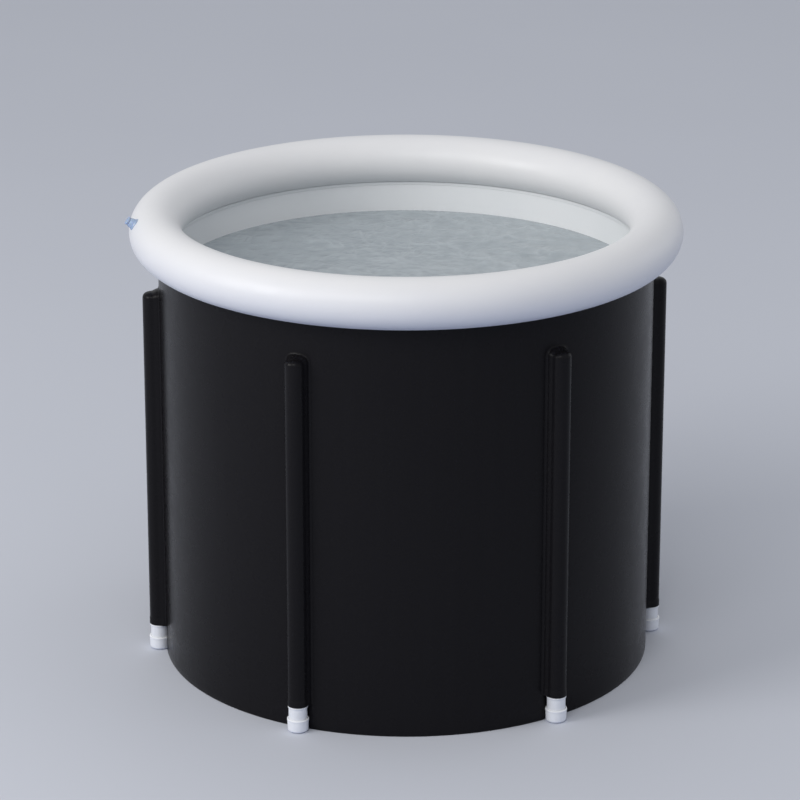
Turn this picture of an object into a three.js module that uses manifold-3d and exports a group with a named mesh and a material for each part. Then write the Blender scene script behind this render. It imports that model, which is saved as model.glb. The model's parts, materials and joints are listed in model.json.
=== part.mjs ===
// A round portable bathtub that stands by itself. A foam-lined PVC barrel is held upright by six pipes in
// sleeves on its outside, and an inflated ring is welded to its top edge.
// Millimetres, +Z up, origin on the floor at the barrel's axis, the front towards -Y.

import * as THREE from 'three';
import { mergeVertices } from 'three/addons/utils/BufferGeometryUtils.js';
import Module from 'manifold-3d';

// Wall and base of the barrel, from the outside in
const barrelRadius = 378;
const wallHeight = 638;
const shellThickness = 1.2;
const foamThickness = 11;
const linerThickness = 1;
const baseSheetThickness = 1.2;
const baseFoamThickness = 8;

// Inflated ring: an oval tube whose centre line runs a little outside the wall
const ringOverhang = 3;
const ringHalfWidth = 40;
const ringHalfHeight = 38;
const ringFilm = 1;
const weldBandThickness = 1.2;

// Poles in their sleeves. The soft wall bulges between them, so each foot stands this deep in a hollow.
const poleCount = 6;
const poleSink = 6.8;
const poleRadius = 14;
const poleWall = 2;
const sleeveThickness = 0.8;
const sleeveBottom = 41;
const sleeveTopDrop = 53;
const sleeveDome = 10;
const weldFlangeWidth = 6;
const weldFlangeThickness = 0.8;

// Stop ring on each pole, just below its sleeve
const stopRingProud = 1.1;
const stopRingHeight = 3;

// Cap on each pole's upper end
const capRim = 1.5;
const capSpigotLength = 12;

// Foot cap on each pole's lower end
const footRadius = 16.5;
const footHeight = 20;
const footFloor = 3;
const footRound = 3;

// Inflation valve on the ring
const valveFlangeRadius = 10;
const valveFlangeThickness = 1.5;
const valveNeckFootRadius = 8.6;
const valveNeckTopRadius = 6.4;
const valveNeckLength = 8;
const valveInnerRadius = 6;
const valveInnerLength = 8;
const valveBoreRadius = 4.2;
const plugHeadRadius = 6.2;
const plugHeadThickness = 3.5;
const plugStemLength = 9;
const flapThickness = 0.8;

// Drain at the back
const drainHeight = 42;
const spoutRadius = 12.5;
const spoutBoreRadius = 9.5;
const spoutLength = 34;
const spoutFlangeRadius = 24;
const spoutFlangeThickness = 2.5;
const gasketRadius = 21;
const gasketThickness = 1.5;
const nutRadius = 20;
const nutThickness = 8;
const drainCapWall = 2.5;
const drainCapLength = 18;

// Fits
const fit = 0.3;
const overrun = 5;

// Directions, in degrees. The pattern of poles is turned against the front of the tub. The valve's turn
// and the drain's are counted from the first pole.
const patternTurn = 5.5;
const valveTurn = 182.9;
const valveRise = 33.75;
const drainTurn = 90;

// Faces round the barrel and round small parts
const barrelFaces = 60;
const ringTubeFaces = 16;
const poleFaces = 16;
const smallFaces = 20;
const domeSteps = 4;
const roundSteps = 3;
const nutSides = 6;

// Sizes that follow from the ones above
const foamOuter = barrelRadius - shellThickness - fit;
const foamInner = foamOuter - foamThickness;
const linerOuter = foamInner - fit;
const linerInner = linerOuter - linerThickness;
const foamBaseBottom = baseSheetThickness + fit;
const foamBaseTop = foamBaseBottom + baseFoamThickness;
const linerFloorBottom = foamBaseTop + fit;
const linerFloorTop = linerFloorBottom + linerThickness;

const ringRadius = barrelRadius + ringOverhang;
const ringDropAtWall = ringHalfHeight * Math.sqrt(1 - (ringOverhang / ringHalfWidth) ** 2);
const weldBandBottom = wallHeight + fit;
const ringHeight = weldBandBottom + weldBandThickness + fit + ringDropAtWall;

const sleeveTop = wallHeight - sleeveTopDrop;
const sleeveBoreRadius = poleRadius + fit;
const sleeveOuterRadius = sleeveBoreRadius + sleeveThickness;
const sleeveInnerTop = sleeveTop - sleeveThickness;
const poleCircle = barrelRadius + fit + footRadius - poleSink;
const poleBottom = footFloor + fit;
const capTop = sleeveInnerTop - fit;
const capDomeBottom = capTop - sleeveDome;
const capBottom = capDomeBottom - capRim;
const poleTop = capBottom - fit;
const stopRingTop = sleeveBottom - fit;

// Shapes about the barrel's axis have the middle of a face, not an edge, at each pole and at the drain.
const halfBarrelFace = Math.PI / barrelFaces;
const gasketSeat = linerInner * Math.cos(halfBarrelFace) - fit - gasketThickness;

const wasm = await Module();
wasm.setup();

// Materials
function material(color, roughness) {
  return new THREE.MeshStandardMaterial({ color, roughness, metalness: 0 });
}

const blackPvc = material(0x1c1b20, 0.5);
const whitePvc = material(0xe9eaec, 0.45);
const linerPvc = material(0xdfe2e4, 0.4);
const foam = material(0xd8d8d2, 0.95);
const whitePlastic = material(0xe4e6ea, 0.35);
const blueVinyl = material(0x9dbde0, 0.25);
const blackRubber = material(0x17171a, 0.8);
const greyPlastic = material(0x2a2b2f, 0.45);

// A closed turned shape about Z. The last side meets the first exactly.
function turned(profile, faces, firstAngle = 0) {
  const outline = profile.map(([radius, height]) => new THREE.Vector2(radius, height));
  const geometry = new THREE.LatheGeometry(outline, faces, firstAngle);
  const places = geometry.attributes.position;
  for (let i = 0; i < outline.length; i++) {
    places.setXYZ(faces * outline.length + i, places.getX(i), places.getY(i), places.getZ(i));
  }
  return geometry.rotateX(Math.PI / 2);
}

function turnedLikeBarrel(profile) {
  return turned(profile, barrelFaces, halfBarrelFace);
}

function tubeProfile(inner, outer, bottom, top) {
  return [[inner, bottom], [outer, bottom], [outer, top], [inner, top], [inner, bottom]];
}

function discProfile(radius, bottom, top) {
  return [[0, bottom], [radius, bottom], [radius, top], [0, top]];
}

// Points of a quarter round that turns from the side (radius, base) to the middle (0, base + height)
function domePoints(radius, base, height) {
  const points = [];
  for (let i = 1; i <= domeSteps; i++) {
    const angle = (Math.PI / 2) * (i / domeSteps);
    const reach = i === domeSteps ? 0 : radius * Math.cos(angle);
    points.push([reach, base + height * Math.sin(angle)]);
  }
  return points;
}

// A three.js geometry as a solid that can be joined and cut
function solid(geometry) {
  const bare = geometry.clone();
  bare.deleteAttribute('normal');
  bare.deleteAttribute('uv');
  const merged = mergeVertices(bare);
  const corners = merged.index.array;
  const triangles = [];
  for (let i = 0; i < corners.length; i += 3) {
    const [a, b, c] = [corners[i], corners[i + 1], corners[i + 2]];
    if (a !== b && b !== c && c !== a) {
      triangles.push(a, b, c);
    }
  }
  const mesh = new wasm.Mesh({
    numProp: 3,
    vertProperties: merged.attributes.position.array,
    triVerts: Uint32Array.from(triangles),
  });
  return new wasm.Manifold(mesh);
}

function geometryOf(manifold) {
  const { vertProperties, triVerts } = manifold.getMesh();
  const geometry = new THREE.BufferGeometry();
  geometry.setAttribute('position', new THREE.BufferAttribute(vertProperties, 3));
  geometry.setIndex(new THREE.BufferAttribute(triVerts, 1));
  geometry.computeVertexNormals();
  return geometry;
}

function named(name, geometry, skin) {
  const mesh = new THREE.Mesh(geometry, skin);
  mesh.name = name;
  return mesh;
}

// The drain's frame: +Z points straight out of the wall, from the shell's outer face
const drainFrame = new THREE.Matrix4()
  .makeRotationZ(THREE.MathUtils.degToRad(drainTurn))
  .multiply(new THREE.Matrix4().makeTranslation(barrelRadius, 0, drainHeight))
  .multiply(new THREE.Matrix4().makeRotationY(Math.PI / 2));

// The hole for the drain's spout, through the shell, the foam and the liner
function drainHole() {
  const depth = barrelRadius - linerInner + overrun;
  const hole = turned(discProfile(spoutRadius + fit, -depth, overrun), smallFaces);
  return solid(hole.applyMatrix4(drainFrame));
}

// The hollow that a pole presses into the wall: wide for its foot and its stop ring, narrow under the
// sleeve, with a dome over its cap. A layer behind the shell's face is pressed in by its depth more.
function poleHollow(depth) {
  const wide = footRadius + fit + depth;
  const narrow = sleeveBoreRadius + depth;
  const ledge = sleeveBottom + depth;
  const shoulder = sleeveInnerTop - sleeveDome;
  const hollow = turned(
    [
      [0, -overrun],
      [wide, -overrun],
      [wide, ledge],
      [narrow, ledge],
      [narrow, shoulder],
      ...domePoints(narrow, shoulder, sleeveDome + depth),
    ],
    poleFaces,
  );
  return hollow.translate(poleCircle, 0, 0);
}

// A full disc of the barrel, with the hollows of all its poles
function hollowedDisc(radius, bottom, top, depth) {
  let disc = solid(turnedLikeBarrel(discProfile(radius, bottom, top)));
  for (let i = 0; i < poleCount; i++) {
    disc = disc.subtract(solid(poleHollow(depth).rotateZ((2 * Math.PI * i) / poleCount)));
  }
  return disc;
}

function outerShell() {
  const inner = barrelRadius - shellThickness;
  const room = hollowedDisc(inner, -overrun, wallHeight + overrun, shellThickness);
  return geometryOf(hollowedDisc(barrelRadius, 0, wallHeight, 0).subtract(room).subtract(drainHole()));
}

function foamWall() {
  const outside = hollowedDisc(foamOuter, linerFloorBottom, wallHeight, shellThickness + fit);
  const room = solid(turnedLikeBarrel(discProfile(foamInner, 0, wallHeight + overrun)));
  return geometryOf(outside.subtract(room).subtract(drainHole()));
}

function innerLiner() {
  const bag = turnedLikeBarrel([
    [0, linerFloorBottom],
    [linerOuter, linerFloorBottom],
    [linerOuter, wallHeight],
    [linerInner, wallHeight],
    [linerInner, linerFloorTop],
    [0, linerFloorTop],
  ]);
  return geometryOf(solid(bag).subtract(drainHole()));
}

function foamBase() {
  return geometryOf(hollowedDisc(foamOuter, foamBaseBottom, foamBaseTop, shellThickness + fit));
}

function baseSheet() {
  return geometryOf(hollowedDisc(foamOuter, 0, baseSheetThickness, shellThickness + fit));
}

// The ring's oval section, grown by a margin or shrunk by a negative one
function ringSection(margin) {
  const points = [];
  for (let i = 0; i <= ringTubeFaces; i++) {
    const angle = (2 * Math.PI * (i % ringTubeFaces)) / ringTubeFaces;
    const out = (ringHalfWidth + margin) * Math.cos(angle);
    const up = (ringHalfHeight + margin) * Math.sin(angle);
    points.push([ringRadius + out, ringHeight + up]);
  }
  return points;
}

function ringSolid(margin) {
  return solid(turnedLikeBarrel(ringSection(margin)));
}

// The valve's frame: +Z points straight out of the ring, from its surface
const valveAngle = THREE.MathUtils.degToRad(valveRise);
const ringFaceShare = Math.cos(Math.PI / ringTubeFaces);
const valveReach = ringHalfWidth * Math.cos(valveAngle) * ringFaceShare;
const valveLift = ringHalfHeight * Math.sin(valveAngle) * ringFaceShare;
const valveFrame = new THREE.Matrix4()
  .makeRotationZ(THREE.MathUtils.degToRad(valveTurn))
  .multiply(new THREE.Matrix4().makeTranslation(ringRadius + valveReach, 0, ringHeight + valveLift))
  .multiply(new THREE.Matrix4().makeRotationY(Math.PI / 2 - valveAngle));

function airRing() {
  const depth = valveInnerLength + overrun;
  const hole = turned(discProfile(valveInnerRadius + fit, -depth, overrun), smallFaces);
  const film = ringSolid(0).subtract(ringSolid(-ringFilm));
  return geometryOf(film.subtract(solid(hole.applyMatrix4(valveFrame))));
}

// The strip between the wall's top edges and the underside of the ring
function ringWeldBand() {
  const strip = turnedLikeBarrel(tubeProfile(linerInner, barrelRadius, weldBandBottom, ringHeight));
  return geometryOf(solid(strip).subtract(ringSolid(fit)));
}

// The valve's flange lies on the ring, so its underside is cut by the ring's own outline. The neck outside
// tapers from a wide foot, and a narrower one reaches in through the hole in the film.
function airValveBody() {
  const place = valveFrame;
  const inner = place.clone().invert();
  const neckTop = valveFlangeThickness + valveNeckLength;
  const flange = turned(
    discProfile(valveFlangeRadius, -valveInnerLength, valveFlangeThickness),
    smallFaces,
  );
  const neck = turned(
    [
      [0, -valveInnerLength],
      [valveInnerRadius, -valveInnerLength],
      [valveInnerRadius, valveFlangeThickness / 2],
      [valveNeckFootRadius, valveFlangeThickness / 2],
      [valveNeckFootRadius, valveFlangeThickness],
      [valveNeckTopRadius, neckTop],
      [0, neckTop],
    ],
    smallFaces,
  );
  const bore = turned(
    discProfile(valveBoreRadius, -valveInnerLength - overrun, neckTop + overrun),
    smallFaces,
  );
  const seated = solid(flange.applyMatrix4(place)).subtract(ringSolid(fit));
  const whole = seated.add(solid(neck.applyMatrix4(place)));
  return geometryOf(whole.subtract(solid(bore.applyMatrix4(place)))).applyMatrix4(inner);
}

function airValvePlug() {
  const neckTop = valveFlangeThickness + valveNeckLength;
  const seat = neckTop + fit;
  return turned(
    [
      [0, seat - plugStemLength],
      [valveBoreRadius - fit, seat - plugStemLength],
      [valveBoreRadius - fit, seat],
      [plugHeadRadius, seat],
      [plugHeadRadius, seat + plugHeadThickness],
      [0, seat + plugHeadThickness],
    ],
    smallFaces,
  );
}

function airValveFlap() {
  const top = -valveInnerLength - fit;
  return turned(discProfile(valveInnerRadius, top - flapThickness, top), smallFaces);
}

// The room inside a sleeve, or its outside: a round pocket about the pole that runs back to the shell
function pocket(radius, bottom, top, dome) {
  const shoulder = top - dome;
  const round = turned(
    [[0, bottom], [radius, bottom], [radius, shoulder], ...domePoints(radius, shoulder, dome)],
    poleFaces,
  );
  return solid(round).add(archBlock(radius, bottom, top, dome));
}

// An upright plate with a domed top, from the pole's axis in to behind the shell's surface
function archBlock(halfWidth, bottom, top, dome) {
  const rightHalf = [[halfWidth, top - dome], ...domePoints(halfWidth, top - dome, dome)];
  const leftHalf = rightHalf.slice(0, -1).reverse().map(([reach, height]) => [-reach, height]);
  const corners = [[halfWidth, bottom], ...rightHalf, ...leftHalf, [-halfWidth, bottom]];
  const outline = new THREE.Shape(corners.map(([x, y]) => new THREE.Vector2(x, y)));
  const depth = poleCircle - barrelRadius + overrun;
  const block = new THREE.ExtrudeGeometry(outline, { depth, bevelEnabled: false });
  block.rotateX(Math.PI / 2);
  block.rotateZ(-Math.PI / 2);
  return solid(block);
}

// A sleeve is a strip over the pole. A flat flange welds it to the shell, on both sides and above.
function poleSleeve() {
  const toBarrel = new THREE.Matrix4().makeTranslation(-poleCircle, 0, 0);
  const below = sleeveBottom - overrun;
  const top = sleeveTop + weldFlangeWidth;
  const face = barrelRadius + fit;
  const skinProfile = tubeProfile(face, face + weldFlangeThickness, sleeveBottom, top);
  const skin = solid(turnedLikeBarrel(skinProfile).applyMatrix4(toBarrel));
  const core = solid(turnedLikeBarrel(discProfile(face, below, top + overrun)).applyMatrix4(toBarrel));
  const flangeReach = sleeveOuterRadius + weldFlangeWidth;
  const flangeDome = sleeveDome + weldFlangeWidth;
  const flange = archBlock(flangeReach, sleeveBottom, top, flangeDome).intersect(skin);
  const outside = pocket(sleeveOuterRadius, sleeveBottom, sleeveTop, sleeveDome + sleeveThickness);
  const inside = pocket(sleeveBoreRadius, below, sleeveInnerTop, sleeveDome);
  return geometryOf(outside.add(flange).subtract(inside).subtract(core));
}

function pole() {
  const boreRadius = poleRadius - poleWall;
  const stopRingRadius = poleRadius + stopRingProud;
  return turned(
    [
      [boreRadius, poleBottom],
      [poleRadius, poleBottom],
      [poleRadius, stopRingTop - stopRingHeight],
      [stopRingRadius, stopRingTop - stopRingHeight],
      [stopRingRadius, stopRingTop],
      [poleRadius, stopRingTop],
      [poleRadius, poleTop],
      [boreRadius, poleTop],
      [boreRadius, poleBottom],
    ],
    poleFaces,
  );
}

function poleCap() {
  const spigotRadius = poleRadius - poleWall - fit;
  return turned(
    [
      [0, capBottom - capSpigotLength],
      [spigotRadius, capBottom - capSpigotLength],
      [spigotRadius, capBottom],
      [poleRadius, capBottom],
      [poleRadius, capDomeBottom],
      ...domePoints(poleRadius, capDomeBottom, sleeveDome),
    ],
    poleFaces,
  );
}

function poleFoot() {
  const socketRadius = poleRadius + fit;
  const edge = [];
  for (let i = 0; i <= roundSteps; i++) {
    const angle = (Math.PI / 2) * (i / roundSteps);
    edge.push([
      footRadius - footRound * (1 - Math.sin(angle)),
      footRound * (1 - Math.cos(angle)),
    ]);
  }
  return turned(
    [
      [0, 0],
      ...edge,
      [footRadius, footHeight],
      [socketRadius, footHeight],
      [socketRadius, footFloor],
      [0, footFloor],
    ],
    poleFaces,
  );
}

function drainSpout() {
  const seat = gasketSeat - fit - barrelRadius;
  return turned(
    [
      [spoutBoreRadius, seat - spoutFlangeThickness],
      [spoutFlangeRadius, seat - spoutFlangeThickness],
      [spoutFlangeRadius, seat],
      [spoutRadius, seat],
      [spoutRadius, spoutLength],
      [spoutBoreRadius, spoutLength],
      [spoutBoreRadius, seat - spoutFlangeThickness],
    ],
    smallFaces,
  );
}

// The washer between the spout's flange and the liner follows the liner's curve on its outer side.
function drainGasket() {
  const inner = drainFrame.clone().invert();
  const washer = tubeProfile(spoutRadius + fit, gasketRadius, gasketSeat - barrelRadius, 0);
  const ring = turned(washer, smallFaces);
  const bath = turnedLikeBarrel(discProfile(linerInner - fit, 0, drainHeight + gasketRadius + overrun));
  return geometryOf(solid(ring.applyMatrix4(drainFrame)).intersect(solid(bath))).applyMatrix4(inner);
}

function drainNut() {
  const block = turned(discProfile(nutRadius, fit, fit + nutThickness), nutSides);
  const bore = turned(discProfile(spoutRadius + fit, -overrun, nutThickness + overrun), smallFaces);
  return geometryOf(solid(block).subtract(solid(bore)));
}

function drainCap() {
  const bore = spoutRadius + fit;
  const mouth = spoutLength + fit + drainCapWall - drainCapLength;
  return turned(
    [
      [0, spoutLength + fit],
      [bore, spoutLength + fit],
      [bore, mouth],
      [bore + drainCapWall, mouth],
      [bore + drainCapWall, mouth + drainCapLength],
      [0, mouth + drainCapLength],
    ],
    smallFaces,
  );
}

function placed(mesh, frame) {
  frame.decompose(mesh.position, mesh.quaternion, mesh.scale);
  return mesh;
}

// The tub
const tub = new THREE.Group();
tub.rotation.z = THREE.MathUtils.degToRad(patternTurn);

tub.add(
  named('outer_shell', outerShell(), blackPvc),
  named('foam_wall', foamWall(), foam),
  named('inner_liner', innerLiner(), linerPvc),
  named('foam_base', foamBase(), foam),
  named('base_sheet', baseSheet(), blackPvc),
  named('air_ring', airRing(), whitePvc),
  named('ring_weld_band', ringWeldBand(), whitePvc),
  placed(named('air_valve_body', airValveBody(), blueVinyl), valveFrame),
  placed(named('air_valve_plug', airValvePlug(), blueVinyl), valveFrame),
  placed(named('air_valve_flap', airValveFlap(), blueVinyl), valveFrame),
  placed(named('drain_spout', drainSpout(), greyPlastic), drainFrame),
  placed(named('drain_gasket', drainGasket(), blackRubber), drainFrame),
  placed(named('drain_nut', drainNut(), greyPlastic), drainFrame),
  placed(named('drain_cap', drainCap(), greyPlastic), drainFrame),
);

// Six poles with their sleeves, caps and feet
const sleeveGeometry = poleSleeve();
const poleGeometry = pole();
const capGeometry = poleCap();
const footGeometry = poleFoot();

for (let i = 0; i < poleCount; i++) {
  const side = new THREE.Group();
  side.rotation.z = (2 * Math.PI * i) / poleCount;
  const stand = new THREE.Group();
  stand.position.x = poleCircle;
  stand.add(
    named(`pole_sleeve_${i + 1}`, sleeveGeometry, blackPvc),
    named(`pole_${i + 1}`, poleGeometry, whitePlastic),
    named(`pole_cap_${i + 1}`, capGeometry, whitePlastic),
    named(`pole_foot_${i + 1}`, footGeometry, whitePlastic),
  );
  side.add(stand);
  tub.add(side);
}

export default tub;
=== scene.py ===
# %% [markdown]
# # A round portable bathtub, dressed in Blender
# The real tub is a barrel of coated PVC sheet with foam in its wall. Six plastic pipes in sleeves on
# the outside hold it upright, and a ring blown up with air stiffens the rim and is soft to lean on.
#
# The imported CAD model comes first, as a frame: it says where each piece is, what it moves with and how
# far. Every plain solid in it is then replaced by a piece with the roundings, lips and finish of the
# real one. Sizes are read from the frame where they can be, so that both models keep the same size.
# All lengths are in metres.

# %% Load the frame
import json
import math

import bmesh
import bpy
from mathutils import Matrix, Vector


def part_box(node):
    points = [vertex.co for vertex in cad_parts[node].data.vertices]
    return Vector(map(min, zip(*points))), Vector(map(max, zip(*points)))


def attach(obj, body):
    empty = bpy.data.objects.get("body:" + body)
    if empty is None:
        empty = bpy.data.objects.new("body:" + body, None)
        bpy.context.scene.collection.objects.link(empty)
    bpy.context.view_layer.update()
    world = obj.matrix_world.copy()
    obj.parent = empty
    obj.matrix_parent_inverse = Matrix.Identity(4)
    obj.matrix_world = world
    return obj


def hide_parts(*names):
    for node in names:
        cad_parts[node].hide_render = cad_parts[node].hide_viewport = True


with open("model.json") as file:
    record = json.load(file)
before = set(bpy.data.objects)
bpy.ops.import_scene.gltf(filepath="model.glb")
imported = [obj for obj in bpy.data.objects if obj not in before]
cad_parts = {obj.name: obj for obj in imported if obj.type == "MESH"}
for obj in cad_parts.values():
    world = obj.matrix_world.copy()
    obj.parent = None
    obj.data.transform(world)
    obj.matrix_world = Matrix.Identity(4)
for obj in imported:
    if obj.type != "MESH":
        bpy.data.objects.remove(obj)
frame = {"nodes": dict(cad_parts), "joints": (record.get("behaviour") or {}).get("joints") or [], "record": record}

scene = bpy.context.scene
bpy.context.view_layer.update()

# %% [markdown]
# ## Reading the frame
# The record names the body that each node moves with and the finish that it has. A node's place is in
# its vertices, so a radius or a height is the least or most of a measure over them. A joint's axis says
# which way the valve and the drain point.

# %% Read bodies, finishes and sizes
record = frame["record"]
body_of = {node: body for body, nodes in record["behaviour"]["bodies"].items() for node in nodes}
axis_of = {joint["child"]: Vector(joint["axis"]).normalized() for joint in frame["joints"]}


def corners(node):
    """The different places of a node's vertices."""
    places = {tuple(round(c, 6) for c in v.co) for v in frame["nodes"][node].data.vertices}
    return [Vector(place) for place in places]


def span(node, measure):
    """The least and the most of a measure over a node's corners."""
    found = [measure(place) for place in corners(node)]
    return min(found), max(found)


def from_middle(place):
    """How far a place is from the tub's axis."""
    return math.hypot(place.x, place.y)


def height(place):
    """How high a place is."""
    return place.z


pole_count = 6
wall_radius = span("outer_shell", from_middle)[1]
wall_low, wall_high = span("outer_shell", height)
ring_inner, ring_outer = span("air_ring", from_middle)
ring_low, ring_high = span("air_ring", height)
pole_places = []
for number in range(1, pole_count + 1):
    low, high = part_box(f"pole_{number}")
    pole_places.append((low + high) / 2)
pole_circle = from_middle(pole_places[0])
pole_turns = [math.atan2(place.y, place.x) for place in pole_places]
foot_radius = (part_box("pole_foot_1")[1].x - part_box("pole_foot_1")[0].x) / 2
sleeve_low, weld_top = (corner.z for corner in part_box("pole_sleeve_1"))
print("wall radius", round(wall_radius, 4), "pole circle", round(pole_circle, 4))

# %% [markdown]
# ## Finishes
# Everything on this tub is plastic, so the finishes differ in small things: how rough the skin is, how
# its grain runs, and how evenly it is coloured. Each material is one Principled shader with a few noise
# textures on object coordinates, which stay put on the piece from every side. `skin` makes the material
# and `add` puts in a node and its links, which keeps the node trees short enough to read.

# %% Helpers for nodes
def skin(name, color, **sockets):
    """A new material with one Principled shader, whose constant sockets are set."""
    material = bpy.data.materials.new(name)
    material.use_nodes = True
    tree = material.node_tree
    shader = tree.nodes["Principled BSDF"]
    shader.inputs["Base Color"].default_value = (*color, 1)
    for socket, value in sockets.items():
        shader.inputs[socket.replace("_", " ")].default_value = value
    return material, tree, shader


def add(tree, kind, inputs=None, **settings):
    """Adds a node. An input is a number or a color, or the socket that feeds it."""
    node = tree.nodes.new(kind)
    for name, value in settings.items():
        setattr(node, name, value)
    for socket, value in (inputs or {}).items():
        if isinstance(value, bpy.types.NodeSocket):
            tree.links.new(value, node.inputs[socket])
        else:
            node.inputs[socket].default_value = value
    return node


def on_piece(tree):
    """Object coordinates, in metres."""
    return add(tree, "ShaderNodeTexCoord").outputs["Object"]


def combined(tree, operation, one, other, **settings):
    """The sum or the product of two patterns."""
    settings["operation"] = operation
    return add(tree, "ShaderNodeMath", {0: one, 1: other}, **settings).outputs["Value"]


# %% [markdown]
# Noise gathers round its middle, so `between` takes its range from 0.3 to 0.7. A Mix node has sockets of
# the same names for each kind of data, so they are picked by number.

# %% Helpers for patterns
noise_low, noise_high = 0.3, 0.7
first_number, second_number, mixed_number = 2, 3, 0
first_color, second_color, mixed_color = 6, 7, 2


def grain(tree, scale, detail=3.0, stretch=(1.0, 1.0, 1.0)):
    """Noise on object coordinates. A stretch under 1 draws it out along that axis."""
    mapping = add(tree, "ShaderNodeMapping", {"Vector": on_piece(tree), "Scale": stretch})
    inputs = {"Vector": mapping.outputs["Vector"], "Scale": scale, "Detail": detail}
    return add(tree, "ShaderNodeTexNoise", inputs).outputs["Fac"]


def between(tree, amount, low=0.0, high=1.0):
    """Spreads a noise between two numbers."""
    inputs = {"Value": amount, "From Min": noise_low, "From Max": noise_high, "To Min": low, "To Max": high}
    return add(tree, "ShaderNodeMapRange", inputs).outputs["Result"]


def tint(tree, amount, one, other):
    """Blends two colors by a pattern. The second may be the socket that gives it."""
    if isinstance(other, tuple):
        other = (*other, 1)
    inputs = {"Factor": amount, first_color: (*one, 1), second_color: other}
    return add(tree, "ShaderNodeMix", inputs, data_type="RGBA").outputs[mixed_color]


def colored(tree, shader, amount, one, other):
    """Gives a finish two tones, by a pattern."""
    tree.links.new(tint(tree, amount, one, other), shader.inputs["Base Color"])


def roughened(tree, shader, amount, low, high):
    """Gives a finish a roughness between two numbers, by a pattern."""
    tree.links.new(between(tree, amount, low, high), shader.inputs["Roughness"])


def relief(tree, shader, *layers):
    """Bumps from (pattern, depth) layers, one on top of the other."""
    under = None
    for pattern, depth in layers:
        inputs = {"Height": pattern, "Distance": depth, "Strength": 1.0}
        if under is not None:
            inputs["Normal"] = under
        under = add(tree, "ShaderNodeBump", inputs).outputs["Normal"]
    tree.links.new(under, shader.inputs["Normal"])


# %% [markdown]
# ### Black tarpaulin
# The outside is PVC-coated polyester. Its coating is nearly black, a little blue, and satin: the middle
# of the barrel looks flat, and its sides, seen at a low angle, carry a soft sheen. Rollers leave faint
# streaks that run up the wall, so one noise is stretched along Z.

# %% Black tarpaulin
black_tarpaulin, tree, shader = skin(
    "black tarpaulin", (0.0072, 0.0067, 0.0079), Roughness=0.28, Specular_IOR_Level=0.105
)
streaks = grain(tree, scale=60.0, detail=4.0, stretch=(1.0, 1.0, 0.04))
colored(tree, shader, streaks, (0.0066, 0.0061, 0.0073), (0.0078, 0.0073, 0.0085))
roughened(tree, shader, grain(tree, scale=35.0), 0.25, 0.31)
dents = grain(tree, scale=7.0, detail=1.0, stretch=(1.0, 1.0, 0.5))
relief(tree, shader, (dents, 0.0012), (grain(tree, scale=900.0), 0.00004))
print("black tarpaulin", len(tree.nodes), "nodes")

# %% [markdown]
# ### White vinyl for the ring, and the liner
# The ring is soft unbacked vinyl, blown up tight, so it is smooth with a broad soft shine. The liner is
# the thicker food-safe sheet: the same white, a little cooler, less taut, so light ripples on it more.

# %% Ring vinyl and liner sheet
ring_vinyl, tree, shader = skin("white ring vinyl", (0.74, 0.74, 0.75), Roughness=0.42)
colored(tree, shader, grain(tree, scale=14.0, detail=2.0), (0.73, 0.73, 0.745), (0.76, 0.757, 0.76))
roughened(tree, shader, grain(tree, scale=40.0), 0.38, 0.47)
dents = grain(tree, scale=18.0, detail=1.5)
relief(tree, shader, (dents, 0.0005), (grain(tree, scale=700.0), 0.00003))

liner_sheet, tree, shader = skin("liner sheet", (0.78, 0.795, 0.81), Roughness=0.36)
colored(tree, shader, grain(tree, scale=10.0, detail=2.0), (0.76, 0.78, 0.795), (0.8, 0.81, 0.82))
roughened(tree, shader, grain(tree, scale=50.0), 0.32, 0.42)
dents = grain(tree, scale=9.0, detail=2.0, stretch=(1.0, 1.0, 0.35))
relief(tree, shader, (dents, 0.0025), (grain(tree, scale=800.0), 0.00003))
print("ring vinyl and liner sheet")

# %% [markdown]
# ### Foam
# The wall and the floor hold sheets of closed-cell foam. Its cut faces show small cells, which a
# Voronoi texture gives.

# %% Foam
foam_cells, tree, shader = skin("closed-cell foam", (0.68, 0.68, 0.64), Roughness=0.9)
voronoi = add(tree, "ShaderNodeTexVoronoi", {"Vector": on_piece(tree), "Scale": 900.0})
cells = voronoi.outputs["Distance"]
colored(tree, shader, cells, (0.6, 0.6, 0.56), (0.74, 0.74, 0.7))
relief(tree, shader, (cells, 0.0003))
print("foam")

# %% [markdown]
# ### Hard plastics
# The pipes and their ends are white PVC: extruded pipe has fine lines along it, moulded caps are
# cloudier. The drain is dark moulded plastic with a fine matt grain, and its washer is rubber.

# %% Pipe, moulded ends, drain plastic and rubber
pipe_plastic, tree, shader = skin("white pipe", (0.81, 0.82, 0.84), Roughness=0.34)
lines = grain(tree, scale=500.0, detail=2.0, stretch=(1.0, 1.0, 0.02))
colored(tree, shader, lines, (0.79, 0.8, 0.82), (0.83, 0.84, 0.86))
roughened(tree, shader, lines, 0.3, 0.4)
relief(tree, shader, (lines, 0.00003))

moulded_white, tree, shader = skin("moulded white", (0.83, 0.84, 0.86), Roughness=0.4)
colored(tree, shader, grain(tree, scale=120.0), (0.81, 0.82, 0.84), (0.85, 0.86, 0.88))
roughened(tree, shader, grain(tree, scale=200.0), 0.34, 0.46)
relief(tree, shader, (grain(tree, scale=1500.0), 0.00003))

drain_plastic, tree, shader = skin("drain plastic", (0.022, 0.023, 0.027), Roughness=0.45)
colored(tree, shader, grain(tree, scale=90.0), (0.02, 0.021, 0.025), (0.026, 0.027, 0.031))
relief(tree, shader, (grain(tree, scale=2200.0), 0.00005))

washer_rubber, tree, shader = skin("washer rubber", (0.008, 0.008, 0.009), Roughness=0.75)
roughened(tree, shader, grain(tree, scale=400.0), 0.66, 0.84)
relief(tree, shader, (grain(tree, scale=1200.0), 0.00006))
print("hard plastics")

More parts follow.
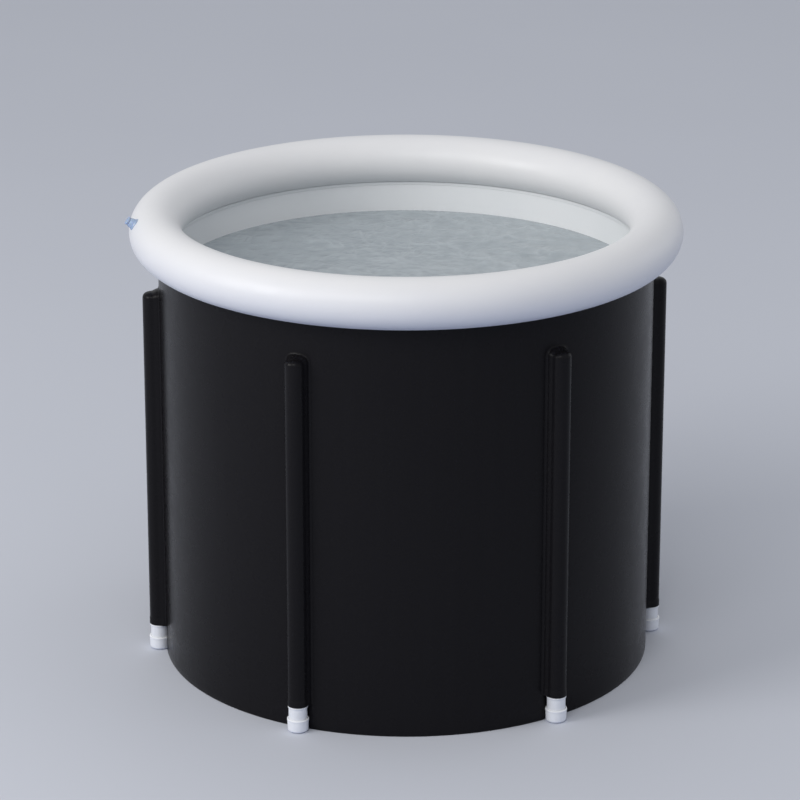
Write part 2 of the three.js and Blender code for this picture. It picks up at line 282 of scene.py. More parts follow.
# %% [markdown]
# ### Valve vinyl
# The valve is soft clear-blue vinyl. Light goes some way into it, which subsurface scattering gives
# without the cost and the dark edges of real transparency on such a small piece.

# %% Valve vinyl
valve_vinyl, tree, shader = skin(
    "blue valve vinyl",
    (0.33, 0.42, 0.58),
    Roughness=0.24,
    Subsurface_Weight=0.35,
    Subsurface_Scale=0.004,
    Subsurface_Radius=(0.6, 0.9, 1.6),
)
colored(tree, shader, grain(tree, scale=260.0), (0.3, 0.39, 0.55), (0.37, 0.46, 0.62))
relief(tree, shader, (grain(tree, scale=900.0), 0.00004))
print("valve vinyl")

# %% [markdown]
# ## Turned pieces
# Nearly every piece here is round about some axis: moulded, extruded or welded into a hoop. Each starts
# as half of its section, a line of (radius, height) points in the XZ plane, and `spin` carries it round.
# A full spin meets itself, so its doubles are merged, and then its normals are turned outward.
#
# A real edge is never sharp. `eased` gives the quarter circle that takes the place of a section's corner:
# the outer lower corner starts at -90 degrees, the outer upper one at 0, the inner upper one at 90 and
# the inner lower one at 180.

# %% Helpers for sections
same_place = 1e-6
tolerance = 1e-4
crease = math.radians(40)


def arc(middle, size, start, end, steps):
    """Points on part of an ellipse, from one angle to another, in degrees."""
    turns = [math.radians(start + (end - start) * i / steps) for i in range(steps + 1)]
    return [(middle[0] + size[0] * math.cos(t), middle[1] + size[1] * math.sin(t)) for t in turns]


def eased(radius, level, size, start, steps):
    """A quarter circle in place of a section's corner."""
    inward = size if start > 0 else -size
    upward = size if start in (-90, 180) else -size
    return arc((radius + inward, level + upward), (size, size), start, start + 90, steps)


def spun(section, steps, closed=False):
    """A bmesh spun all the way round Z from half of its section."""
    bm = bmesh.new()
    line = [bm.verts.new((radius, 0.0, level)) for radius, level in section]
    pairs = list(zip(line, line[1:]))
    if closed:
        pairs.append((line[-1], line[0]))
    edges = [bm.edges.new(pair) for pair in pairs]
    bmesh.ops.spin(
        bm,
        geom=line + edges,
        axis=(0, 0, 1),
        cent=(0, 0, 0),
        angle=2 * math.pi,
        steps=steps,
        use_merge=True,
    )
    bmesh.ops.remove_doubles(bm, verts=bm.verts, dist=same_place)
    bmesh.ops.recalc_face_normals(bm, faces=bm.faces)
    return bm


# %% [markdown]
# The valve and the drain stand out from the tub on axes of their own. Their pieces are made along +Z,
# with the height 0 at the ring's or the wall's face, and `facing` then stands them in their place.

# %% Helpers for places and pieces
def facing(place, axis):
    """Stands a piece that was made along +Z on a place, with its X as near to up as it goes."""
    out = axis.normalized()
    side = out.cross(Vector((0, 0, 1))).normalized()
    return Matrix.Translation(place) @ Matrix((side.cross(out), side, out)).transposed().to_4x4()


def foot_of(node, axis, level):
    """The point on a turned node's own axis from which its lowest end is a level away."""
    places = corners(node)
    middle = sum(places, Vector()) / len(places)
    lowest = min(place.dot(axis) for place in places)
    return middle + axis * (lowest - level - middle.dot(axis))


def piece_of(bm, name, material, node, place=None):
    """Finishes a bmesh as a piece that stands for a CAD node and moves with it."""
    if place is not None:
        bmesh.ops.transform(bm, matrix=place, verts=bm.verts)
    mesh = bpy.data.meshes.new(name)
    bm.to_mesh(mesh)
    bm.free()
    mesh.shade_smooth()
    mesh.set_sharp_from_angle(angle=crease)
    mesh.materials.append(material)
    piece = bpy.data.objects.new(name, mesh)
    scene.collection.objects.link(piece)
    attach(piece, body_of[node])
    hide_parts(node)
    print(name, len(mesh.polygons), "faces")
    return piece


# %% [markdown]
# ## Holes
# The wall, its foam and the liner have a real hole for the drain, and the ring has one for the valve.
# Each is cut with a Boolean by a spun rod. `settled` then writes the result back to the mesh, so that no
# cutter stays in the scene, and marks the new edges as sharp. The ring and the sleeves, which get their
# thickness from Solidify, are settled in the same way.

# %% Helpers for holes
def settled(piece):
    """Writes what a piece's modifiers make back to its mesh, and marks its sharp edges."""
    bpy.context.view_layer.update()
    seen = piece.evaluated_get(bpy.context.evaluated_depsgraph_get())
    before, piece.data = piece.data, bpy.data.meshes.new_from_object(seen)
    piece.modifiers.clear()
    piece.data.name = piece.name
    piece.data.set_sharp_from_angle(angle=crease)
    bpy.data.meshes.remove(before)


def thickened(piece, thickness):
    """Adds a Solidify that gives a sheet its thickness, inwards."""
    film = piece.modifiers.new("Thickness", "SOLIDIFY")
    film.thickness = thickness
    film.offset = -1


def pierced(piece, radius, start, end, place):
    """Cuts a round hole through a piece along the Z of a place."""
    rod = spun([(0, start), (radius, start), (radius, end), (0, end)], steps=48)
    bmesh.ops.transform(rod, matrix=place, verts=rod.verts)
    cutter_mesh = bpy.data.meshes.new("cutter")
    rod.to_mesh(cutter_mesh)
    rod.free()
    cutter = bpy.data.objects.new("cutter", cutter_mesh)
    scene.collection.objects.link(cutter)
    cut = piece.modifiers.new("Hole", "BOOLEAN")
    cut.object = cutter
    cut.solver = "EXACT"
    settled(piece)
    bpy.data.objects.remove(cutter)
    print(piece.name, "pierced,", len(piece.data.polygons), "faces")


drain_hole, drain_start, drain_end = 0.0128, -0.03, 0.02
valve_hole, valve_start, valve_end = 0.0063, -0.015, 0.01
cap_mouth = 0.0188
stem_foot = 0.0008
drain_axis = axis_of["drain_closure"]
drain_place = facing(foot_of("drain_cap", drain_axis, cap_mouth), drain_axis)
valve_axis = axis_of["valve_plug"]
valve_place = facing(foot_of("air_valve_plug", valve_axis, stem_foot), valve_axis)
print("drain at", [round(c, 4) for c in drain_place.translation])
print("valve at", [round(c, 4) for c in valve_place.translation])

# %% [markdown]
# ## Where the poles press in
# Foam and water push the soft wall out between the poles, so each pole and its foot lie in a shallow
# hollow. Every vertex of the spun wall that would be inside a circle about a pole moves back towards the
# middle until it lies on that circle, and a smooth minimum of both distances rounds the hollow's rim.
# The hollow is wide beside the foot, narrow under the sleeve, and closes over the pole's cap.
#
# A sleeve ends above in a welded edge, and below that edge comes the dome over the pipe's cap. The wall
# gets a row of vertices at each of the levels: they are close where the hollow changes, and wide apart
# where it doesn't. Pieces that only touch keep `clear` between them. `nearby` is an angle in radians,
# past which a vertex is too far from a pole to be moved.

# %% Helpers for the poles' hollows
clear = 0.0003
pipe_radius = 0.014
edge = 0.006
dome = 0.0108
dome_base = weld_top - edge - dome
taper = 0.012
nearby = 0.2


def drawn_in(vert, share):
    """Moves a vertex towards the Z axis, to a share of its distance."""
    vert.co.x *= share
    vert.co.y *= share


def hollow_radius(level):
    """The radius of the hollow about a pole's axis, at a height."""
    wide, narrow = foot_radius + clear, pipe_radius + clear
    if level > dome_base:
        lift = min((level - dome_base) / dome, 1.0)
        return narrow * math.sqrt(1 - lift * lift)
    ease = min(max((level - sleeve_low) / taper, 0.0), 1.0)
    return wide + (narrow - wide) * ease * ease * (3 - 2 * ease)


def pressed(bm, deepest, rim=0.003):
    """Presses the hollows into a spun piece, down to a depth behind the wall's face."""
    for vert in bm.verts:
        out = from_middle(vert.co)
        turn = math.atan2(vert.co.y, vert.co.x)
        away = min(abs(math.remainder(turn - pole_turn, 2 * math.pi)) for pole_turn in pole_turns)
        reach = hollow_radius(vert.co.z) + wall_radius - out
        side = pole_circle * math.sin(away)
        if away > nearby or side >= reach or out < wall_radius - deepest:
            continue
        back = pole_circle * math.cos(away) - math.sqrt(reach * reach - side * side)
        blend = max(rim - abs(out - back), 0.0) / rim
        kept = min(out, back) - blend * blend * rim / 4
        drawn_in(vert, kept / out)


levels = [0.01, 0.02, 0.03]
levels += [sleeve_low + taper * i / 4 for i in range(5)]
levels += [0.1, 0.2, 0.3, 0.4, 0.5]
levels += [dome_base + dome * math.sin(math.radians(turn)) for turn in (0, 20, 40, 60, 75, 90)]
print("hollow radius", round(hollow_radius(wall_low), 4), "by the foot, in", len(levels), "rows")

# %% [markdown]
# ## The barrel
# The wall is one strip of tarpaulin welded into a hoop. Its lap weld is at the back, where the sheet is
# double: one column of faces is extruded half a millimetre. The base is a disc of the same sheet,
# welded inside the wall's lower edge.

# %% Wall
sheet = 0.0012
wall_round = 0.0008
wall = spun(
    [
        (wall_radius - sheet, wall_low),
        *eased(wall_radius, wall_low, wall_round, -90, 3),
        *[(wall_radius, level) for level in (*levels, wall_high)],
        *[(wall_radius - sheet, level) for level in (wall_high, *reversed(levels))],
    ],
    steps=600,
    closed=True,
)
pressed(wall, deepest=0.002)

lap_turn, lap_reach = math.radians(155), math.radians(2.3)
lap_thickness = 0.0005
upright = 0.1
lap = []
for face in wall.faces:
    middle = face.calc_center_median()
    outside = from_middle(middle) > wall_radius - sheet / 3 and abs(face.normal.z) < upright
    if outside and abs(math.atan2(middle.y, middle.x) - lap_turn) < lap_reach:
        lap.append(face)
raised = bmesh.ops.extrude_face_region(wall, geom=lap)
raised_verts = [part for part in raised["geom"] if isinstance(part, bmesh.types.BMVert)]
grow = 1 + lap_thickness / wall_radius
bmesh.ops.scale(wall, vec=(grow, grow, 1), verts=raised_verts)
bmesh.ops.delete(wall, geom=lap, context="FACES_ONLY")
wall_skin = piece_of(wall, "wall_skin", black_tarpaulin, "outer_shell")
pierced(wall_skin, drain_hole, drain_start, drain_end, drain_place)

# %% Base sheet
border = 0.02
disc_depth = 0.025
base_low, base_high = span("base_sheet", height)
base_radius = span("base_sheet", from_middle)[1]
base_round = 0.0006
base = spun(
    [
        (0, base_low),
        (base_radius / 2, base_low),
        (base_radius - border, base_low),
        *arc((base_radius - base_round, base_low + base_round), (base_round, base_round), -90, 90, 6),
        (base_radius - border, base_high),
        (0, base_high),
    ],
    steps=480,
)
pressed(base, disc_depth)
piece_of(base, "base_floor_sheet", black_tarpaulin, "base_sheet")

# %% [markdown]
# ## The foam
# Foam in the wall keeps the water warm and fills the barrel out to its round shape, and a disc of it
# under the liner makes the floor soft. It is hidden, but the finished wall is as thick as it is because
# of it. Its corners are eased, as foam's are where a sheet is stretched over them.

# %% Foam in wall and floor
foam_inner, foam_radius = span("foam_wall", from_middle)
foam_low, foam_high = span("foam_wall", height)
foam_round = 0.002
wall_foam = spun(
    [
        *eased(foam_radius, foam_low, foam_round, -90, 4),
        *[(foam_radius, level) for level in levels[1:]],
        *eased(foam_radius, foam_high, foam_round, 0, 4),
        *eased(foam_inner, foam_high, foam_round, 90, 4),
        *eased(foam_inner, foam_low, foam_round, 180, 4),
    ],
    steps=480,
    closed=True,
)
pressed(wall_foam, deepest=0.004)
wall_padding = piece_of(wall_foam, "wall_padding", foam_cells, "foam_wall")
pierced(wall_padding, drain_hole, drain_start, drain_end, drain_place)

pad_radius = span("foam_base", from_middle)[1]
pad_low, pad_high = span("foam_base", height)
pad_round = 0.003
pad = spun(
    [
        (0, pad_low),
        (pad_radius - border, pad_low),
        *eased(pad_radius, pad_low, pad_round, -90, 4),
        *eased(pad_radius, pad_high, pad_round, 0, 4),
        (pad_radius - border, pad_high),
        (0, pad_high),
    ],
    steps=480,
)
pressed(pad, disc_depth)
piece_of(pad, "floor_padding", foam_cells, "foam_base")

# %% [markdown]
# ## The liner
# The liner is a bag: a disc for the floor and a strip for the wall, welded where they meet. Filled with
# water it is pressed into the corner, so the section turns there in a small round instead of a corner.

# %% Liner bag
liner_radius = span("inner_liner", from_middle)[1]
liner_low, liner_high = span("inner_liner", height)
film = 0.001
turn_in = 0.012
corner = (liner_radius - turn_in, liner_low + turn_in)
straight = liner_high - liner_low - turn_in
wall_rows = [liner_low + (turn_in + straight * i / 8) for i in range(1, 9)]
liner = spun(
    [
        (0, liner_low),
        (liner_radius / 2, liner_low),
        *arc(corner, (turn_in, turn_in), -90, 0, 8),
        *[(liner_radius, level) for level in wall_rows],
        *[(liner_radius - film, level) for level in reversed(wall_rows)],
        *arc(corner, (turn_in - film, turn_in - film), 0, -90, 8),
        (liner_radius / 2, liner_low + film),
        (0, liner_low + film),
    ],
    steps=240,
)
liner_bag = piece_of(liner, "liner_bag", liner_sheet, "inner_liner")
pierced(liner_bag, drain_hole, drain_start, drain_end, drain_place)

# %% [markdown]
# ## The inflated ring
# Air pulls a hoop of thin film into a tube whose section is nearly round. The ring is an oval spun
# about the tub's axis. It is hollow, so it gets its wall with Solidify, inwards, and then the hole for
# the valve. A flat strip below it is where the ring is welded to the tops of the wall and the liner:
# its upper side follows the ring's underside, from the angle over the wall to the one over the liner.

# %% Ring and its weld
ring_middle = ((ring_inner + ring_outer) / 2, (ring_low + ring_high) / 2)
ring_size = ((ring_outer - ring_inner) / 2, (ring_high - ring_low) / 2)
oval = arc(ring_middle, ring_size, 0, 360, 64)[:-1]
ring = piece_of(spun(oval, steps=256, closed=True), "inflated_ring", ring_vinyl, "air_ring")
thickened(ring, film)
pierced(ring, valve_hole, valve_start, valve_end, valve_place)

weld_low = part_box("ring_weld_band")[0].z
weld_size = (ring_size[0] + clear, ring_size[1] + clear)


def angle_over(radius):
    """The angle on the ring's underside that is over a radius, in degrees."""
    return -math.degrees(math.acos((radius - ring_middle[0]) / weld_size[0]))


weld = spun(
    [
        (liner_radius - film, weld_low),
        (wall_radius, weld_low),
        *arc(ring_middle, weld_size, angle_over(wall_radius), angle_over(liner_radius - film), 6),
    ],
    steps=240,
    closed=True,
)
piece_of(weld, "rim_weld", liner_sheet, "ring_weld_band")

# %% [markdown]
# ## The sleeves
# Each sleeve is a strip of tarpaulin laid over its pipe. Both edges and the top are welded flat to the
# wall, and the bottom is open, with a hem. The strip runs flat on the wall, turns up in a small hollow,
# climbs the pipe's side, goes round it and down again. At the top it is drawn over the pipe's round
# cap, so the whole section narrows until both sides meet.
#
# One half of the section is a list of points, from the crown out to the edge. `create_grid` makes the
# faces, and each vertex then goes to its place in the section at its own height. Where both halves
# meet at the top, the doubles are merged. Solidify gives the sheet its thickness, inwards.

# %% Points along a sleeve
cloth = 0.0008
half_width = 0.0151
skin_level = wall_radius + 0.0005
crown_steps, side_steps, hollow_steps, flat_steps = 8, 4, 5, 2
half_count = crown_steps + side_steps + hollow_steps + flat_steps


def across(share):
    """A place on half of the section, for a number of steps from the crown.

    It is given as sideways, outward from the pipe's axis, how far it has run along the wall, and how
    far it has come down: 1 where the side meets the hollow, 2 where the strip lies flat.
    """
    if share <= crown_steps:
        turn = math.radians(90 * share / crown_steps)
        return half_width * math.sin(turn), half_width * math.cos(turn), 0.0, 0.0
    share -= crown_steps
    if share <= side_steps:
        return half_width, 0.0, 0.0, share / side_steps
    share -= side_steps
    if share <= hollow_steps:
        turn = math.radians(90 * share / hollow_steps)
        return half_width, 0.0, 1 - math.cos(turn), 1 + math.sin(turn)
    share -= hollow_steps
    return half_width, 0.0, 1 + share / flat_steps, 2.0


print("sleeve from", round(sleeve_low, 4), "to", round(weld_top, 4), "in", half_count, "steps a side")

# %% [markdown]
# The rows come next, as (height, share of the width, share of the dome's lift, swell). The lowest ones
# make the hem, which stands half a millimetre proud. The last ones go over the dome, on a curve that is
# squarer than a circle, because the cap has a tight shoulder.

# %% Rows of a sleeve
hem = ((0.0, 0.0002), (0.0003, 0.0005), (0.0095, 0.0005), (0.0105, 0.0001), (0.0125, 0.0))
straight_rows, dome_rows = 6, 10
shoulder = 0.72
rows = [(sleeve_low + rise, 1.0, 0.0, swell) for rise, swell in hem]
hem_top = rows[-1][0]
for i in range(1, straight_rows + 1):
    rows.append((hem_top + (dome_base - hem_top) * i / straight_rows, 1.0, 0.0, 0.0))
for i in range(1, dome_rows + 1):
    turn = math.radians(90 * i / dome_rows)
    narrow = 0.0 if i == dome_rows else math.cos(turn) ** shoulder
    rows.append((dome_base, narrow, math.sin(turn) ** shoulder, 0.0))
print("sleeve in", len(rows), "rows")

# %% [markdown]
# Beside the pipe the strip leans out by the flare, and its hollow starts one bend above the wall and runs
# out by a reach of its own. Over the dome it goes upwards instead, first by the slope and then along the
# wall to the edge. The weld's pressed edge is melted a little into the wall.

# %% The sleeves
bend = 0.003
flare = 0.0026
slope = 0.003
hollow_reach = 0.0024
melt = 0.0003


def sleeve_point(sideways, row):
    """Where a grid's point goes, for a pipe that stands on +X."""
    level, narrow, lift, swell = row
    wide, out, run, climb = across(abs(sideways) * half_count)
    z = level + dome * lift
    if climb <= 1:
        lateral = (wide + (swell if wide else 0)) * narrow + flare * climb * narrow
        foot = math.sqrt(skin_level ** 2 - lateral ** 2) + bend
        x = pole_circle + (out + swell * out / half_width) * narrow
        x += (foot - x) * climb
        return x, math.copysign(lateral, sideways), z + slope * climb * lift
    flat_run = max(run - 1.0, 0.0)
    reach = hollow_reach * min(run, 1.0) + (edge - flare - hollow_reach) * flat_run
    lateral = (wide + flare + reach) * narrow
    foot = math.sqrt(skin_level ** 2 - lateral ** 2)
    x = foot + bend * (2.0 - climb) - melt * flat_run
    rise = slope + (edge - slope) * reach / (edge - flare)
    return x, math.copysign(lateral, sideways), z + rise * lift


def sleeve_mesh():
    """A sleeve for a pipe that stands on +X."""
    bm = bmesh.new()
    bmesh.ops.create_grid(bm, x_segments=2 * half_count, y_segments=len(rows) - 1, size=1)
    for vert in bm.verts:
        row = rows[round((vert.co.y + 1) / 2 * (len(rows) - 1))]
        vert.co = sleeve_point(vert.co.x, row)
    bmesh.ops.remove_doubles(bm, verts=bm.verts, dist=same_place)
    bmesh.ops.recalc_face_normals(bm, faces=bm.faces)
    outermost = max(bm.faces, key=lambda face: face.calc_center_median().x)
    if outermost.normal.x < 0:
        bmesh.ops.reverse_faces(bm, faces=bm.faces)
    return bm


for number, pole_turn in enumerate(pole_turns, start=1):
    turned = Matrix.Rotation(pole_turn, 4, "Z")
    sleeve = piece_of(
        sleeve_mesh(), f"sleeve_{number}", black_tarpaulin, f"pole_sleeve_{number}", turned
    )
    thickened(sleeve, cloth)
    settled(sleeve)

# %% [markdown]
# ## Pipes, caps and feet
# A pipe's lower end shows between its sleeve and its foot, with a collar that stops it from sliding too
# far up. The cap at the top is a plug with a dome, so that the pipe's cut end doesn't wear through the
# sleeve. The foot is a moulded cup with a lip round its mouth, a rounded bottom edge and a shallow
# dimple below; its side narrows downwards a little, as moulded pieces do to leave their mould.

# %% Sections of pipe and cap
pipe_low, pipe_high = span("pole_1", height)
pipe_wall = 0.002
pipe_round = 0.0005
collar_top = sleeve_low - clear
collar_height, collar_round = 0.003, (0.0011, 0.0006)
groove = 0.0004
pipe_section = [
    *eased(pipe_radius, pipe_low, pipe_round, -90, 2),
    (pipe_radius, collar_top - collar_height - groove),
    *arc((pipe_radius, collar_top - collar_height + collar_round[1]), collar_round, -90, 0, 3),
    *arc((pipe_radius, collar_top - collar_round[1]), collar_round, 0, 90, 3),
    (pipe_radius, collar_top + groove),
    *eased(pipe_radius, pipe_high, pipe_round, 0, 2),
    (pipe_radius - pipe_wall, pipe_high),
    (pipe_radius - pipe_wall, pipe_low),
]

cap_low, cap_high = span("pole_cap_1", height)
cap_seat = pipe_high + clear
cap_rise = 0.01
cap_bevel = 0.0004
insert_radius = pipe_radius - pipe_wall - clear
insert_wall, insert_depth = 0.0015, 0.009
cap_section = [
    (0, cap_low + insert_depth),
    (insert_radius - insert_wall, cap_low + insert_depth),
    (insert_radius - insert_wall, cap_low),
    (insert_radius, cap_low),
    (insert_radius, cap_seat),
    (pipe_radius - cap_bevel, cap_seat),
    (pipe_radius, cap_seat + cap_bevel),
    *arc((0, cap_high - cap_rise), (pipe_radius, cap_rise), 0, 90, 12),
]
print("pipe and cap in", len(pipe_section), "and", len(cap_section), "points")

# %% Section of a foot, and the pieces of all poles
foot_low, foot_high = span("pole_foot_1", height)
foot_round = 0.0036
dimple_radius, dimple = 0.006, 0.0004
lip, lip_round, lip_height = 0.0004, 0.0008, 0.0036
side_top = foot_high - 0.0042
draft = 0.0004
lip_middle = foot_radius - lip_round
foot_section = [
    (0, foot_low + dimple),
    (dimple_radius, foot_low + dimple),
    (dimple_radius + 2 * dimple, foot_low),
    *eased(foot_radius - lip - draft, foot_low, foot_round, -90, 6),
    (foot_radius - lip, side_top),
    *arc((lip_middle, foot_high - lip_height + lip_round), (lip_round, lip_round), -60, 0, 2),
    *eased(foot_radius, foot_high, lip_round, 0, 3),
    (pipe_radius + clear, foot_high),
    (pipe_radius + clear, pipe_low - clear),
    (0, pipe_low - clear),
]
for number, place in enumerate(pole_places, start=1):
    here = Matrix.Translation((place.x, place.y, 0))
    pipe = spun(pipe_section, steps=48, closed=True)
    piece_of(pipe, f"pipe_{number}", pipe_plastic, f"pole_{number}", here)
    pipe_cap = spun(cap_section, steps=48)
    piece_of(pipe_cap, f"pipe_cap_{number}", moulded_white, f"pole_cap_{number}", here)
    foot_cup = spun(foot_section, steps=48)
    piece_of(foot_cup, f"foot_cup_{number}", moulded_white, f"pole_foot_{number}", here)

# %% [markdown]
# ## The valve
# The valve is a soft moulded neck on a thin flange that is welded to the ring. The ring curves away
# under the flange, so its vertices are lowered by the height of a circle's arc over their distance. The
# plug has a stem that seals the neck and a rounded head to pull on. Behind the neck hangs a thin flap.

# %% Valve neck
neck_bore, neck_radius = 0.0042, 0.006
neck_low, neck_high = -0.008, 0.0095
neck_bevel, rim_round = 0.0004, 0.0005
rim_radius, rim_under = 0.0064, (0.0066, 0.0088)
flange_under, flange_top, flange_edge = 0.0002, 0.003, 0.01
flange_line = ((0.0002, 0.0), (0.0, 0.0003), (0.0004, 0.0007), (0.0011, 0.001))
fillet_middle, fillet_size = (0.0106, 0.0046), (0.003, 0.0034)
neck = spun(
    [
        (neck_bore, neck_low),
        (neck_radius - neck_bevel, neck_low),
        (neck_radius, neck_low + neck_bevel),
        (neck_radius, flange_under),
        *[(flange_edge - inward, flange_under + rise) for inward, rise in flange_line],
        *arc(fillet_middle, fillet_size, -115, -180, 4),
        rim_under,
        *eased(rim_radius, neck_high, rim_round, 0, 3),
        *eased(neck_bore, neck_high, rim_round, 90, 3),
    ],
    steps=48,
    closed=True,
)
for vert in neck.verts:
    if from_middle(vert.co) > neck_radius + tolerance and vert.co.z < flange_top:
        vert.co.z -= vert.co.x ** 2 / (2 * ring_size[0]) + vert.co.y ** 2 / (2 * ring_outer)
piece_of(neck, "valve_neck", valve_vinyl, "air_valve_body", valve_place)

# %% Valve plug and flap
stem_radius = neck_bore - clear
stem_round = 0.0008
head_low, head_high = neck_high + clear, 0.0133
head_radius, head_round, head_bevel = 0.0062, 0.001, 0.0004
head_under = (0.0008, 0.0009)
dish_radius, dish = 0.003, 0.0004
plug = spun(
    [
        (0, stem_foot),
        *eased(stem_radius, stem_foot, stem_round, -90, 3),
        (stem_radius, head_low),
        (head_radius - head_bevel, head_low),
        *arc((head_radius - head_under[0], head_low + head_round), head_under, -80, 0, 3),
        *eased(head_radius, head_high, head_round, 0, 4),
        (dish_radius + dish, head_high),
        (dish_radius - dish, head_high - dish),
        (0, head_high - dish),
    ],
    steps=48,
)
piece_of(plug, "valve_plug_cap", valve_vinyl, "air_valve_plug", valve_place)

flap_low, flap_middle = -0.009, -0.0087
flap_radius, flap_round = 0.006, 0.0004
flap = spun(
    [
        (0, flap_low),
        *arc((flap_radius - flap_round, flap_middle), (flap_round, flap_round), -90, 90, 6),
        (0, flap_middle + flap_round),
    ],
    steps=40,
)
piece_of(flap, "valve_flap_disc", valve_vinyl, "air_valve_flap", valve_place)

# %% [markdown]
# ## The drain
# Low at the back a spout goes through the wall. Its flange is inside, on a rubber washer, and a nut
# outside pulls the three sheets together. A screw cap closes it. The nut and the cap start as round
# spins, and their outer vertices are then moved: onto a hexagon for the nut, and into shallow flutes
# for the cap. The thread is a small tooth spun with a step along the axis, which makes a helix.

# %% Spout
spout_base = drain_place.translation.dot(drain_axis)
spout_ends = span("drain_spout", lambda place: place.dot(drain_axis))
flange_low, spout_high = (end - spout_base for end in spout_ends)
core, bore = 0.0119, 0.0095
flange_radius, flange, flange_round = 0.024, 0.0025, 0.0012
shoulder_out, shoulder_high = 0.0006, 0.004
spout_bevel, bore_bevel, mouth_bevel = 0.0008, 0.0006, 0.0004
spout = spun(
    [
        (bore + bore_bevel, flange_low),
        *eased(flange_radius, flange_low, flange_round, -90, 4),
        (flange_radius, flange_low + flange),
        (core + shoulder_out, flange_low + flange),
        (core + shoulder_out, shoulder_high),
        (core, shoulder_high + shoulder_out),
        (core, spout_high - spout_bevel),
        (core - spout_bevel, spout_high),
        (bore + mouth_bevel, spout_high),
        (bore, spout_high - bore_bevel),
        (bore, flange_low + spout_bevel),
    ],
    steps=64,
    closed=True,
)
piece_of(spout, "outlet_spout", drain_plastic, "drain_spout", drain_place)

# %% Thread
root, crest = core - 0.0002, core + 0.0006
thread_low = 0.0055
tooth = ((root, 0.0), (crest, 0.0007), (crest, 0.001), (root, 0.0017))
turns, pitch, turn_steps = 8, 0.0032, 40
thread = bmesh.new()
tooth_line = [thread.verts.new((radius, 0.0, thread_low + level)) for radius, level in tooth]
tooth_face = thread.faces.new(tooth_line)
bmesh.ops.spin(
    thread,
    geom=[tooth_face, *tooth_face.verts, *tooth_face.edges],
    axis=(0, 0, 1),
    cent=(0, 0, 0),
    dvec=(0, 0, pitch / turn_steps),
    angle=2 * math.pi * turns,
    steps=turn_steps * turns,
)
bmesh.ops.remove_doubles(thread, verts=thread.verts, dist=same_place / 10)
bmesh.ops.recalc_face_normals(thread, faces=thread.faces)
piece_of(thread, "outlet_thread", drain_plastic, "drain_spout", drain_place)

# %% Washer and nut
def flat_ring(radius, low, high, bevel, steps):
    """A ring round the spout, whose outer edges are bevelled."""
    section = [
        (drain_hole, low),
        (radius - bevel, low),
        (radius, low + bevel),
        (radius, high - bevel),
        (radius - bevel, high),
        (drain_hole, high),
    ]
    return spun(section, steps, closed=True)


washer_radius, washer_height, washer_bevel = 0.021, 0.0013, 0.0004
washer_low = flange_low + flange + clear
washer = flat_ring(washer_radius, washer_low, washer_low + washer_height, washer_bevel, steps=64)
piece_of(washer, "outlet_washer", washer_rubber, "drain_gasket", drain_place)

nut_radius, nut_bevel = 0.02, 0.0008
nut_low, nut_high = 0.0003, 0.0083
nut = flat_ring(nut_radius, nut_low, nut_high, nut_bevel, steps=72)
half_side = math.pi / 6
for vert in nut.verts:
    if from_middle(vert.co) > (drain_hole + nut_radius) / 2:
        turn = math.atan2(vert.co.y, vert.co.x) % (2 * half_side) - half_side
        drawn_in(vert, math.cos(half_side) / math.cos(turn))
piece_of(nut, "outlet_nut", drain_plastic, "drain_nut", drain_place)

# %% Cap
cap_end, cap_radius = 0.0368, 0.0153
cap_top, cap_round = 0.0025, 0.0014
dish_outer, dish_inner = 0.009, 0.0084
grip_low, grip_step = cap_mouth + 0.002, 0.0026
cap = spun(
    [
        (0, cap_end - cap_top),
        (drain_hole, cap_end - cap_top),
        (drain_hole, cap_mouth),
        (cap_radius - cap_bevel, cap_mouth),
        (cap_radius, cap_mouth + cap_bevel),
        *[(cap_radius, grip_low + grip_step * i) for i in range(6)],
        *eased(cap_radius, cap_end, cap_round, 0, 4),
        (dish_outer, cap_end),
        (dish_inner, cap_end - cap_bevel),
        (0, cap_end - cap_bevel),
    ],
    steps=144,
)
flutes, flutes_low, flute_share = 18, cap_mouth + 0.001, 0.045
for vert in cap.verts:
    if from_middle(vert.co) > cap_radius - tolerance and vert.co.z > flutes_low:
        flute = max(0.0, math.cos(flutes * math.atan2(vert.co.y, vert.co.x)))
        drawn_in(vert, 1 - flute_share * flute ** 2)
piece_of(cap, "outlet_cap", drain_plastic, "drain_cap", drain_place)

# %% [markdown]
# ## Water
# The tub is shown filled, as it is used. The water isn't a piece of the tub, so it is stage and moves with no
# body:
# a disc just inside the liner, a little see-through. Slow waves come from one noise and ripples from a
# finer one. The thin crests between them come from a Voronoi's distance to its cells' edges, bent by the
# waves and broken up by a third noise, because unbroken cells would look like netting.
# The crests and ripples are also painted lighter in the water's colour, as a painted reflection of light on top of
# their bumps.

# %% Helpers for stage
def see_through(tree, shader, amount, color=(1.0, 1.0, 1.0)):
    """Lets a share of the light straight through a material."""
    clear_part = add(tree, "ShaderNodeBsdfTransparent", {"Color": (*color, 1)})
    blend = add(tree, "ShaderNodeMixShader", {"Fac": amount})
    tree.links.new(shader.outputs["BSDF"], blend.inputs[1])
    tree.links.new(clear_part.outputs["BSDF"], blend.inputs[2])
    tree.links.new(blend.outputs["Shader"], tree.nodes["Material Output"].inputs["Surface"])


def stage_of(bm, name, material, level):
    """Finishes a flat bmesh as stage, at a height."""
    bmesh.ops.translate(bm, vec=(0, 0, level), verts=bm.verts)
    mesh = bpy.data.meshes.new(name)
    bm.to_mesh(mesh)
    bm.free()
    mesh.materials.append(material)
    sheet_object = bpy.data.objects.new(name, mesh)
    scene.collection.objects.link(sheet_object)
    print(name, "at", level)


